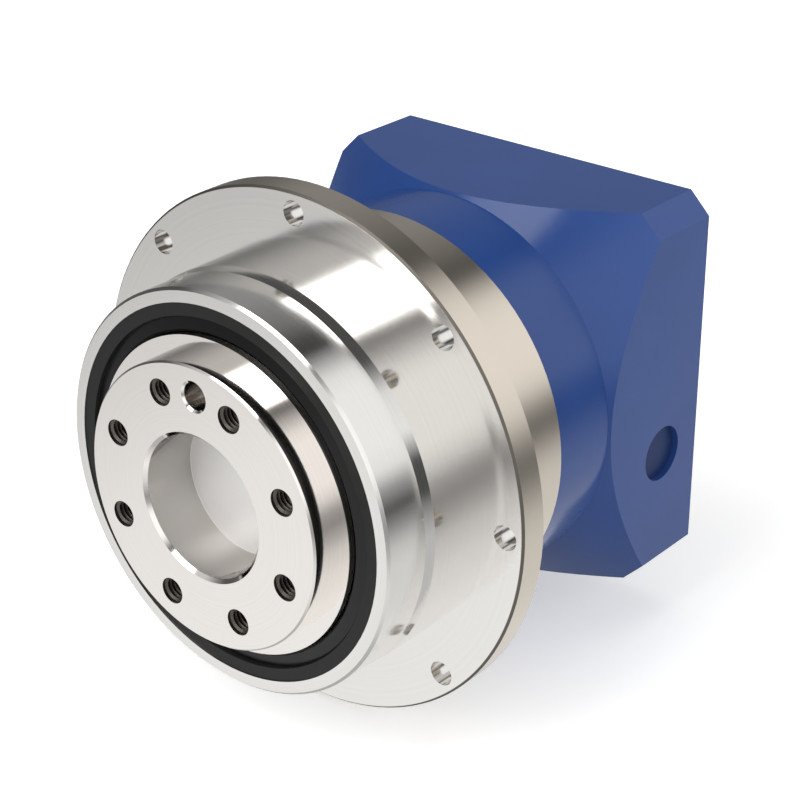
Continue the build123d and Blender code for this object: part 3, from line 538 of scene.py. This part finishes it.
def screw_tree():
    """Socket head screw at each place, with its head towards +Z before it is turned: a head with a
    bevelled rim and a hexagon socket, a shank, and a thread ridge over its lower part."""
    tree, size = node_tree("socket_head_screw", {
        "Head Radius": 0.0035, "Head Height": 0.004, "Rim": 0.0004, "Socket Radius": 0.0017,
        "Shank Radius": 0.0017, "Length": 0.030, "Thread Length": 0.020, "Ridge": 0.0003, "Turns": 28.0,
        "Middle": 0.013, "Turn X": 0.0, "Turn Y": 0.0,
    })
    body_height = add_node(tree, "ShaderNodeMath", {"operation": "SUBTRACT"}, i0=size["Head Height"],
                           i1=size["Rim"])
    rim_radius = add_node(tree, "ShaderNodeMath", {"operation": "SUBTRACT"}, i0=size["Head Radius"],
                          i1=size["Rim"])
    lower = add_node(tree, "GeometryNodeMeshCone", Vertices=HEAD_SIDES, Radius_Top=size["Head Radius"],
                     Radius_Bottom=size["Head Radius"], Depth=body_height)
    upper = add_node(tree, "GeometryNodeMeshCone", Vertices=HEAD_SIDES, Radius_Top=rim_radius,
                     Radius_Bottom=size["Head Radius"], Depth=size["Rim"])
    rim_place = add_node(tree, "ShaderNodeCombineXYZ", Z=body_height)
    raised = add_node(tree, "GeometryNodeTransform", Geometry=upper, Translation=rim_place)
    head = add_node(tree, "GeometryNodeMeshBoolean", {"operation": "UNION"}, i1=lower.outputs[0])
    tree.links.new(raised.outputs[0], head.inputs[1])
    socket_place = add_node(tree, "ShaderNodeMath", {"operation": "MULTIPLY"}, i0=size["Head Height"], i1=0.5)
    socket_up = add_node(tree, "ShaderNodeCombineXYZ", Z=socket_place)
    hexagon = add_node(tree, "GeometryNodeMeshCone", Vertices=6, Radius_Top=size["Socket Radius"],
                       Radius_Bottom=size["Socket Radius"], Depth=size["Head Height"])
    key = add_node(tree, "GeometryNodeTransform", Geometry=hexagon, Translation=socket_up)
    cut = add_node(tree, "GeometryNodeMeshBoolean", {"operation": "DIFFERENCE"}, i0=head.outputs[0],
                   i1=key.outputs[0])
    below = add_node(tree, "ShaderNodeMath", {"operation": "MULTIPLY"}, i0=size["Length"], i1=-1.0)
    foot = add_node(tree, "ShaderNodeCombineXYZ", Z=below)
    rod = add_node(tree, "GeometryNodeMeshCone", Vertices=SHANK_SIDES, Radius_Top=size["Shank Radius"],
                   Radius_Bottom=size["Shank Radius"], Depth=size["Length"])
    shank = add_node(tree, "GeometryNodeTransform", Geometry=rod, Translation=foot)
    ridge = add_helix(tree, size["Shank Radius"], size["Ridge"], size["Turns"], size["Thread Length"])
    thread = add_node(tree, "GeometryNodeTransform", Geometry=ridge, Translation=foot)
    whole = add_node(tree, "GeometryNodeJoinGeometry", Geometry=thread)
    tree.links.new(shank.outputs[0], whole.inputs[0])
    tree.links.new(cut.outputs[0], whole.inputs[0])
    middle = add_node(tree, "ShaderNodeCombineXYZ", Z=size["Middle"])
    centred = add_node(tree, "GeometryNodeTransform", Geometry=whole, Translation=middle)
    turn = add_node(tree, "ShaderNodeCombineXYZ", X=size["Turn X"], Y=size["Turn Y"])
    screws = add_node(tree, "GeometryNodeInstanceOnPoints", Points=size["Places"], Instance=centred,
                      Rotation=turn)
    close_tree(tree, screws.outputs[0], size["Material"])
    return tree


def ball_tree():
    """Round ball at each place."""
    tree, size = node_tree("bearing_ball", {"Radius": 0.003})
    ball = add_node(tree, "GeometryNodeMeshIcoSphere", Radius=size["Radius"], Subdivisions=4)
    smooth = add_node(tree, "GeometryNodeSetShadeSmooth", Geometry=ball.outputs[0], Shade_Smooth=True)
    balls = add_node(tree, "GeometryNodeInstanceOnPoints", Points=size["Places"], Instance=smooth)
    close_tree(tree, balls.outputs[0], size["Material"])
    return tree


# Studio

FLOOR_RADIUS = 6.0
FLOOR_LIFT = 0.4

# The lights: name, place, width and height, and power as a share of the overhead light's
LIGHTS = (
    ("overhead_light", (0.1, 0.15, 1.1), (1.1, 0.8), 1.0),
    ("left_light", (-0.9, -0.5, 0.5), (0.8, 0.8), 0.5),
    ("right_light", (1.0, 0.1, 0.35), (0.8, 0.8), 0.45),
)
LIGHTS_AIM = (0, 0.05, 0)

# The camera as fitted to the photograph: degrees to the right, up and rolled, and its place
CAMERA_SIDE = 40.39
CAMERA_RISE = 26.32
CAMERA_ROLL = -0.31
CAMERA_PLACE = (0.263187, -0.246841, 0.201518)


def add_floor(height):
    """Round pale floor, lifted to white for the camera. Mirrored rays pass through it, so the steel
    shows the studio below as well."""
    mesh = bpy.data.meshes.new("floor")
    work = bmesh.new()
    bmesh.ops.create_circle(work, cap_ends=True, segments=FLOOR_SIDES, radius=FLOOR_RADIUS,
                            matrix=Matrix.Translation((0, 0, height)))
    work.to_mesh(mesh)
    work.free()
    floor = bpy.data.objects.new("floor", mesh)
    bpy.context.scene.collection.objects.link(floor)
    material = bpy.data.materials.new("white_card")
    material.use_nodes = True
    tree = material.node_tree
    tree.nodes.clear()
    card = add_node(tree, "ShaderNodeBsdfDiffuse", Color=(0.93, 0.93, 0.93, 1))
    path = add_node(tree, "ShaderNodeLightPath")
    lift = add_node(tree, "ShaderNodeMath", {"operation": "MULTIPLY"}, i0=path.outputs["Is Camera Ray"],
                    i1=FLOOR_LIFT)
    glow = add_node(tree, "ShaderNodeEmission", Color=(1, 1, 1, 1), Strength=lift)
    lit = add_node(tree, "ShaderNodeAddShader", i0=card.outputs[0], i1=glow.outputs[0])
    clear = add_node(tree, "ShaderNodeBsdfTransparent")
    mixed = add_node(tree, "ShaderNodeMixShader", i0=path.outputs["Is Glossy Ray"], i1=lit.outputs[0],
                     i2=clear.outputs[0])
    add_node(tree, "ShaderNodeOutputMaterial", Surface=mixed.outputs[0])
    mesh.materials.append(material)


# What the metal sees round the gearbox axis: pairs of degrees, from +X towards +Z, and brightness.
# Behind the object are a light wall on the right, a dark gap above it and a grey wall on the left.
# Beside it are black flags. In front are the same walls with a bright soft box overhead.
SURROUND_BEHIND = (
    (-180, 0.14), (-168, 0.13), (-158, 0.40), (-125, 0.75), (-90, 0.90), (-64, 0.81), (-43, 0.79),
    (-32, 0.66), (-21, 0.32), (-11, 0.08), (0, 0.38), (10, 0.97), (22, 1.05), (56, 1.05), (66, 0.95),
    (75, 0.49), (84, 0.05), (92, 0.08), (105, 0.20), (130, 0.30), (149, 0.31), (160, 0.22), (170, 0.15),
    (180, 0.14),
)
SURROUND_BESIDE = (
    (-180, 0.12), (-165, 0.30), (-150, 0.40), (-110, 0.50), (-60, 0.60), (-30, 0.60), (-15, 0.30),
    (-7, 0.08), (10, 0.08), (18, 0.60), (24, 1.00), (45, 0.90), (55, 0.35), (62, 0.08), (150, 0.08),
    (180, 0.12),
)
SURROUND_FRONT = (
    (-180, 0.24), (-165, 0.45), (-152, 0.65), (-143, 0.95), (-130, 1.05), (-95, 1.15), (-64, 1.05),
    (-43, 0.83), (-32, 0.56), (-21, 0.36), (-11, 0.48), (0, 1.00), (10, 1.22), (45, 1.22), (54, 1.08),
    (64, 0.62), (73, 0.22), (79, 0.26), (83, 3.80), (119, 3.80), (124, 0.68), (140, 0.66), (150, 0.57),
    (160, 0.43), (170, 0.31), (180, 0.24),
)
BRIGHTEST = 5.0

# Where one surround turns into the next, as the direction's part along the axis
FRONT_TO_BESIDE = {"i1": -0.5, "i2": -0.25}
BESIDE_TO_BEHIND = {"i1": 0.52, "i2": 0.60}


def surround_ramp(tree, share, stops):
    """Brightness round the axis as a ramp through the given stops, as shares of the brightest."""
    ramp = add_node(tree, "ShaderNodeValToRGB", Fac=share)
    points = ramp.color_ramp.elements
    while len(points) < len(stops):
        points.new(0.5)
    for point, (degrees, level) in zip(points, stops):
        point.position = (degrees + 180) / 360
        point.color = (level / BRIGHTEST, level / BRIGHTEST, level / BRIGHTEST, 1)
    return ramp.outputs[0]


def add_world(scene):
    """Studio round the object as its polished steel mirrors it; the camera itself sees white."""
    world = bpy.data.worlds.new("studio_surround")
    world.use_nodes = True
    tree = world.node_tree
    tree.nodes.clear()
    direction = add_node(tree, "ShaderNodeTexCoord").outputs["Generated"]
    parts = add_node(tree, "ShaderNodeSeparateXYZ", i0=direction)
    angle = add_node(tree, "ShaderNodeMath", {"operation": "ARCTAN2"}, i0=parts.outputs[2],
                     i1=parts.outputs[0])
    share = add_node(tree, "ShaderNodeMapRange", i0=angle, i1=-math.pi, i2=math.pi)
    from_front = add_node(tree, "ShaderNodeMapRange", i0=parts.outputs[1], **FRONT_TO_BESIDE)
    to_back = add_node(tree, "ShaderNodeMapRange", i0=parts.outputs[1], **BESIDE_TO_BEHIND)
    front, beside, behind = [surround_ramp(tree, share, stops)
                             for stops in (SURROUND_FRONT, SURROUND_BESIDE, SURROUND_BEHIND)]
    near = add_node(tree, "ShaderNodeMix", COLOUR_MIX, i0=from_front, i6=front, i7=beside)
    level = add_node(tree, "ShaderNodeMix", COLOUR_MIX, i0=to_back, i6=near, i7=behind)
    path = add_node(tree, "ShaderNodeLightPath")
    seen = add_node(tree, "ShaderNodeBackground", Color=(1, 1, 1, 1), Strength=1.0)
    around = add_node(tree, "ShaderNodeBackground", Color=level, Strength=BRIGHTEST)
    mixed = add_node(tree, "ShaderNodeMixShader", i0=path.outputs["Is Camera Ray"], i1=around, i2=seen)
    add_node(tree, "ShaderNodeOutputWorld", Surface=mixed)
    scene.world = world


def add_light(name, place, size, power):
    """Soft rectangular light aimed at the middle of the gearbox; the steel mirrors the world instead."""
    light = bpy.data.lights.new(name, "AREA")
    light.shape = "RECTANGLE"
    light.size, light.size_y = size
    light.energy = power
    lamp = bpy.data.objects.new(name, light)
    lamp.location = place
    lamp.rotation_euler = (Vector(LIGHTS_AIM) - Vector(place)).to_track_quat("-Z", "Y").to_euler()
    lamp.visible_glossy = False
    bpy.context.scene.collection.objects.link(lamp)


def add_camera(scene, lens):
    """The photograph's view."""
    side, rise, roll = [math.radians(angle) for angle in (CAMERA_SIDE, CAMERA_RISE, CAMERA_ROLL)]
    back = Vector((math.sin(side) * math.cos(rise), -math.cos(side) * math.cos(rise), math.sin(rise)))
    right = Vector((math.cos(side), math.sin(side), 0))
    turned = Matrix.Rotation(roll, 3, back)
    right = turned @ right
    up = back.cross(right)
    data = bpy.data.cameras.new("photo_view")
    data.sensor_width = 36
    data.lens = lens
    data.clip_start, data.clip_end = 0.01, 100
    camera = bpy.data.objects.new("photo_view", data)
    camera.matrix_world = Matrix.Translation(CAMERA_PLACE) @ Matrix(
        (right, up, back)).transposed().to_4x4()
    scene.collection.objects.link(camera)
    scene.camera = camera


# Settings a user would change

class GearboxFinish(bpy.types.PropertyGroup):
    """Colours and surfaces"""
    housing_colour: bpy.props.StringProperty(
        name="Housing Colour", description="sRGB hex colour of the turned steel housing", default="#E6E4E1")
    housing_roughness: bpy.props.FloatProperty(
        name="Housing Roughness", description="How softly the housing reflects", default=0.13,
        min=0.02, max=1, subtype="FACTOR")
    rear_colour: bpy.props.StringProperty(
        name="Rear Colour", description="sRGB hex colour of the plainly turned rear of the housing",
        default="#DDD4C7")
    rear_roughness: bpy.props.FloatProperty(
        name="Rear Roughness", description="How softly the rear of the housing reflects", default=0.24,
        min=0.02, max=1, subtype="FACTOR")
    carrier_colour: bpy.props.StringProperty(
        name="Output Flange Colour", description="sRGB hex colour of the output flange", default="#EDE9E5")
    carrier_roughness: bpy.props.FloatProperty(
        name="Output Flange Roughness", description="How softly the output flange reflects", default=0.09,
        min=0.02, max=1, subtype="FACTOR")
    paint_colour: bpy.props.StringProperty(
        name="Paint Colour", description="sRGB hex colour of the painted adapter", default="#284786")
    paint_roughness: bpy.props.FloatProperty(
        name="Paint Roughness", description="How softly the paint reflects", default=0.17, min=0.05, max=1,
        subtype="FACTOR")
    plug_colour: bpy.props.StringProperty(
        name="Plug Colour", description="sRGB hex colour of the access plug", default="#1F3362")


class GearboxThread(bpy.types.PropertyGroup):
    """Tapped holes"""
    output_circle: bpy.props.FloatProperty(
        name="Output Bolt Circle", description="Diameter of the circle of output holes",
        default=0.050, unit="LENGTH")
    output_count: bpy.props.IntProperty(
        name="Output Holes", description="Number of tapped output holes", default=8, min=1)
    output_depth: bpy.props.FloatProperty(
        name="Output Thread Depth", description="Length of thread in each output hole",
        default=0.011, unit="LENGTH")
    motor_circle: bpy.props.FloatProperty(
        name="Motor Bolt Circle", description="Diameter of the circle of motor holes",
        default=0.090, unit="LENGTH")
    motor_count: bpy.props.IntProperty(
        name="Motor Holes", description="Number of tapped motor holes", default=4, min=1)
    motor_depth: bpy.props.FloatProperty(
        name="Motor Thread Depth", description="Length of thread in each motor hole",
        default=0.013, unit="LENGTH")
    nominal: bpy.props.FloatProperty(
        name="Thread Diameter", description="Outer diameter of the thread", default=0.006, unit="LENGTH")
    core: bpy.props.FloatProperty(
        name="Core Diameter", description="Diameter of the drilled hole before tapping",
        default=0.005, unit="LENGTH")
    pitch: bpy.props.FloatProperty(
        name="Thread Pitch", description="Distance from one ridge to the next", default=0.001, unit="LENGTH")


class GearboxScrew(bpy.types.PropertyGroup):
    """Screws and balls"""
    adapter_head: bpy.props.FloatProperty(
        name="Adapter Screw Head", description="Head diameter of the adapter screws",
        default=0.007, unit="LENGTH")
    adapter_shank: bpy.props.FloatProperty(
        name="Adapter Screw", description="Thread diameter of the adapter screws",
        default=0.004, unit="LENGTH")
    adapter_length: bpy.props.FloatProperty(
        name="Adapter Screw Length", description="Length under the head", default=0.030, unit="LENGTH")
    clamp_head: bpy.props.FloatProperty(
        name="Clamping Screw Head", description="Head diameter of the clamping screw",
        default=0.0085, unit="LENGTH")
    clamp_shank: bpy.props.FloatProperty(
        name="Clamping Screw", description="Thread diameter of the clamping screw",
        default=0.005, unit="LENGTH")
    clamp_length: bpy.props.FloatProperty(
        name="Clamping Screw Length", description="Length under the head", default=0.022, unit="LENGTH")
    ball: bpy.props.FloatProperty(
        name="Ball", description="Diameter of the balls of the input bearing", default=0.006, unit="LENGTH")


class GearboxStudio(bpy.types.PropertyGroup):
    """Floor, light and lens"""
    floor_height: bpy.props.FloatProperty(
        name="Floor Height", description="Height of the floor under the gearbox",
        default=-0.0592, unit="LENGTH")
    overhead: bpy.props.FloatProperty(
        name="Overhead Light", description="Power of the light above", default=3.0, min=0, unit="POWER")
    lens: bpy.props.FloatProperty(
        name="Lens", description="Focal length in millimetres on a 36 mm sensor",
        default=91.8, min=10, max=300)


# Operators, one for each piece or group of like pieces

class GEARBOX_OT_main_housing(bpy.types.Operator):
    """Dress the turned steel housing with its mounting flange"""
    bl_idname = "gearbox.main_housing"
    bl_label = "Main Housing"

    def execute(self, context):
        dress("main_housing", turned=True)
        return {"FINISHED"}


class GEARBOX_OT_adapter_housing(bpy.types.Operator):
    """Dress the painted motor adapter"""
    bl_idname = "gearbox.adapter_housing"
    bl_label = "Motor Adapter"

    def execute(self, context):
        thread = context.scene.gearbox_thread
        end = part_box("adapter_housing")[1][1]
        dress("adapter_housing", reshape=open_holes(
            thread.motor_circle / 2, thread.motor_count, FIRST_MOTOR_HOLE, end - MOTOR_DRILLED,
            end - DRILLED_MARGIN, thread.core / 2, thread.nominal / 2 - WALL_INSET), turned=True)
        return {"FINISHED"}


class GEARBOX_OT_output_carrier(bpy.types.Operator):
    """Dress the output flange and planet carrier"""
    bl_idname = "gearbox.output_carrier"
    bl_label = "Output Flange"

    def execute(self, context):
        thread = context.scene.gearbox_thread
        dress("output_carrier", reshape=open_holes(
            thread.output_circle / 2, thread.output_count, FIRST_OUTPUT_HOLE, DRILLED_MARGIN,
            OUTPUT_DRILLED, thread.core / 2, thread.nominal / 2 - WALL_INSET), turned=True)
        dress("end_plate", turned=True)
        return {"FINISHED"}


class GEARBOX_OT_seals(bpy.types.Operator):
    """Dress the shaft seals, their springs and the O-ring"""
    bl_idname = "gearbox.seals"
    bl_label = "Seals"

    def execute(self, context):
        dress("output_seal", "lip_rubber")
        for node in ("input_seal", "adapter_o_ring", "output_seal_spring", "input_seal_spring"):
            dress(node)
        return {"FINISHED"}


class GEARBOX_OT_access_plug(bpy.types.Operator):
    """Dress the plug in the access hole"""
    bl_idname = "gearbox.access_plug"
    bl_label = "Access Plug"

    def execute(self, context):
        dress("access_plug")
        return {"FINISHED"}


class GEARBOX_OT_input_shaft(bpy.types.Operator):
    """Dress the sun gear with its clamping hub"""
    bl_idname = "gearbox.input_shaft"
    bl_label = "Input Shaft"

    def execute(self, context):
        dress("sun_shaft", "hub_steel")
        return {"FINISHED"}


class GEARBOX_OT_bearings(bpy.types.Operator):
    """Dress the rings, rolling elements and cages of the bearings"""
    bl_idname = "gearbox.bearings"
    bl_label = "Bearings"

    def execute(self, context):
        for node in sorted(frame["nodes"]):
            plain = "bearing_" in node and "circlip" not in node and node != "input_bearing_balls"
            if plain or "rollers" in node:
                dress(node)
        screw = context.scene.gearbox_screw
        replace_with("input_bearing_balls", ball_tree(), {"Radius": screw.ball / 2})
        return {"FINISHED"}


class GEARBOX_OT_gears(bpy.types.Operator):
    """Dress the planet gears, their pins and washers"""
    bl_idname = "gearbox.gears"
    bl_label = "Planet Gears"

    def execute(self, context):
        for node in sorted(frame["nodes"]):
            if node.startswith(("planet_gear", "planet_pin", "planet_washers")):
                dress(node)
        return {"FINISHED"}


class GEARBOX_OT_fasteners(bpy.types.Operator):
    """Dress the screws and the circlips"""
    bl_idname = "gearbox.fasteners"
    bl_label = "Fasteners"

    def execute(self, context):
        screw = context.scene.gearbox_screw
        for node in sorted(frame["nodes"]):
            if node == "end_plate_screws" or "circlip" in node:
                dress(node)
        tree = screw_tree()
        for node, head, shank, length, pitch, turn_x, turn_y in (
            ("adapter_screws", screw.adapter_head, screw.adapter_shank, screw.adapter_length,
             ADAPTER_SCREW_PITCH, -90, 0),
            ("clamp_screw", screw.clamp_head, screw.clamp_shank, screw.clamp_length,
             CLAMP_SCREW_PITCH, 0, 90),
        ):
            ridge = pitch * SCREW_RIDGE_SHARE
            replace_with(node, tree, {
                "Head Radius": head / 2, "Head Height": shank, "Rim": shank * SCREW_RIM_SHARE,
                "Socket Radius": shank * SCREW_SOCKET_SHARE, "Shank Radius": shank / 2 - ridge,
                "Length": length, "Thread Length": length * SCREW_THREAD_SHARE, "Ridge": ridge,
                "Turns": length * SCREW_THREAD_SHARE / pitch, "Middle": (length - shank) / 2,
                "Turn X": math.radians(turn_x), "Turn Y": math.radians(turn_y),
            })
        return {"FINISHED"}


class GEARBOX_OT_threads(bpy.types.Operator):
    """Cut the threads of the tapped holes"""
    bl_idname = "gearbox.threads"
    bl_label = "Threads"

    def execute(self, context):
        thread = context.scene.gearbox_thread
        tree = thread_tree()
        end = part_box("adapter_housing")[1][1]
        for name, body, slot, count, circle, first, depth, start in (
            ("output_threads", "carrier", "carrier_steel", thread.output_count, thread.output_circle,
             FIRST_OUTPUT_HOLE, thread.output_depth, THREAD_START),
            ("motor_threads", "housing", "blue_paint", thread.motor_count, thread.motor_circle,
             FIRST_MOTOR_HOLE, thread.motor_depth, end - THREAD_START - thread.motor_depth),
        ):
            angles = [first + math.tau * i / count for i in range(count)]
            places = [(circle / 2 * math.cos(a), start, circle / 2 * math.sin(a)) for a in angles]
            grow(name, tree, places, {
                "Radius": (thread.nominal + thread.core) / 4,
                "Ridge": (thread.nominal - thread.core) * RIDGE_SHARE,
                "Turns": depth / thread.pitch, "Length": depth,
            }, body, finish_for("thread_steel"))
        return {"FINISHED"}


class GEARBOX_OT_studio(bpy.types.Operator):
    """Set the floor, the lights, the background and the camera"""
    bl_idname = "gearbox.studio"
    bl_label = "Studio"

    def execute(self, context):
        studio = context.scene.gearbox_studio
        add_floor(studio.floor_height)
        add_world(context.scene)
        for name, place, size, share in LIGHTS:
            add_light(name, place, size, studio.overhead * share)
        add_camera(context.scene, studio.lens)
        context.scene.view_settings.view_transform = "Standard"
        return {"FINISHED"}


# Panel, registration and the run itself

class GEARBOX_PT_panel(bpy.types.Panel):
    """Lists the pieces of the gearbox and their settings"""
    bl_idname = "GEARBOX_PT_panel"
    bl_label = "Gearbox"
    bl_space_type = "VIEW_3D"
    bl_region_type = "UI"
    bl_category = "Gearbox"

    def draw(self, context):
        for group in (context.scene.gearbox_finish, context.scene.gearbox_thread,
                      context.scene.gearbox_screw, context.scene.gearbox_studio):
            box = self.layout.box()
            for key in group.__annotations__:
                box.prop(group, key)
        for piece in OPERATORS:
            self.layout.operator(piece.bl_idname)


GROUPS = {
    "gearbox_finish": GearboxFinish, "gearbox_thread": GearboxThread, "gearbox_screw": GearboxScrew,
    "gearbox_studio": GearboxStudio,
}
OPERATORS = (
    GEARBOX_OT_main_housing, GEARBOX_OT_adapter_housing, GEARBOX_OT_output_carrier, GEARBOX_OT_seals,
    GEARBOX_OT_access_plug, GEARBOX_OT_input_shaft, GEARBOX_OT_bearings, GEARBOX_OT_gears,
    GEARBOX_OT_fasteners, GEARBOX_OT_threads, GEARBOX_OT_studio,
)


def register():
    """Register the classes and put the settings on the scene."""
    for item in (*GROUPS.values(), *OPERATORS, GEARBOX_PT_panel):
        bpy.utils.register_class(item)
    for key, group in GROUPS.items():
        setattr(bpy.types.Scene, key, bpy.props.PointerProperty(type=group))


def unregister():
    """Take the settings and the classes away again."""
    for key in GROUPS:
        delattr(bpy.types.Scene, key)
    for item in (GEARBOX_PT_panel, *reversed(OPERATORS), *GROUPS.values()):
        bpy.utils.unregister_class(item)


def main():
    """Build every piece and the studio."""
    register()
    for item in OPERATORS:
        group, action = item.bl_idname.split(".")
        getattr(getattr(bpy.ops, group), action)()


if __name__ == "__main__":
    main()
